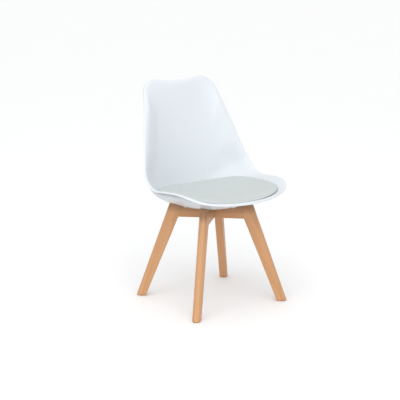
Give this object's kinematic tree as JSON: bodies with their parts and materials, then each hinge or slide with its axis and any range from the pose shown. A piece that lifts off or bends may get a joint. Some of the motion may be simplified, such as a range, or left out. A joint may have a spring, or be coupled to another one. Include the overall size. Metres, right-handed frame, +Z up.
{
  "type": "dining chair",
  "caption": "Bucket-seat dining chair: white moulded shell with a rolled lip, a thin pale grey seat pad, and a crossed beech base with splayed legs",
  "frame": {"origin": "on the floor, under the middle of the chair's bounding box", "axes": "+Z up, the front of the chair faces -Y, +X is the sitter's left"},
  "size_m": [0.503, 0.4825, 0.8208],
  "materials": {
    "shell_plastic": "white moulded polypropylene, satin, very fine grain",
    "cover_leathercloth": "pale grey leather-cloth, soft grain, satin",
    "foam": "open-cell upholstery foam",
    "board_plastic": "black moulded plastic, matt",
    "clip_nylon": "white nylon",
    "rail_wood": "beech, clear matt lacquer",
    "leg_wood": "beech, clear matt lacquer",
    "dowel_wood": "raw beech",
    "insert_brass": "turned brass",
    "fastener_steel": "zinc plated",
    "wire_steel": "galvanised wire",
    "glide_nylon": "dark nylon"
  },
  "bodies": {
    "root": {"seat_shell": "shell_plastic", "cushion_cover": "cover_leathercloth", "cushion_foam": "foam", "cushion_board": "board_plastic", "cover_staples": "wire_steel", "cushion_clips": "clip_nylon", "cross_rail_lower": "rail_wood", "cross_rail_upper": "rail_wood", "front_left_leg": "leg_wood", "front_right_leg": "leg_wood", "rear_left_leg": "leg_wood", "rear_right_leg": "leg_wood", "leg_dowels": "dowel_wood", "threaded_inserts": "insert_brass", "frame_bolts": "fastener_steel", "bolt_washers": "fastener_steel", "front_left_glide": "glide_nylon", "front_right_glide": "glide_nylon", "rear_left_glide": "glide_nylon", "rear_right_glide": "glide_nylon", "glide_nails": "wire_steel"}
  },
  "joints": []
}
